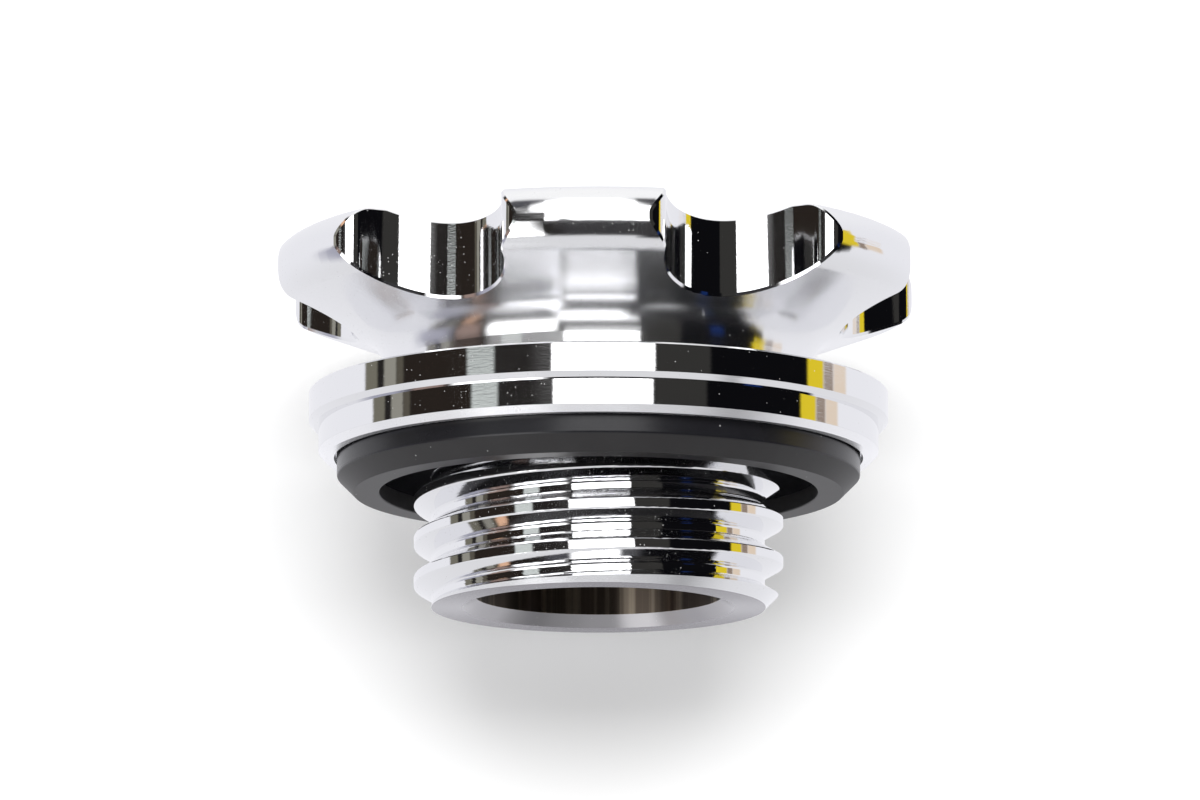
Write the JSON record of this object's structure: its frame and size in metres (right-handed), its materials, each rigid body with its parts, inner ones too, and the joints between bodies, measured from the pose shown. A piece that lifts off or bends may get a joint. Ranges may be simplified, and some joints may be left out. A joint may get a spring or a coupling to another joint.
{
  "type": "oil filler cap",
  "caption": "Polished screw-in oil filler cap with a scalloped finger knob, stepped flange, black sealing ring and hollow threaded shank.",
  "frame": {"origin": "on the cap's axis, in the plane of the sealing ring's face that meets the filler neck", "axes": "+Z along the axis, from the threaded shank up through the knob; a knob lobe points to -Y"},
  "size_m": [0.0544, 0.0574, 0.0317],
  "materials": {
    "polished_metal": "mirror-polished bright plate with fine turning lines",
    "seal_rubber": "smooth moulded black rubber, satin"
  },
  "bodies": {
    "root": {"cap_body": "polished_metal", "seal_ring": "seal_rubber"}
  },
  "joints": []
}
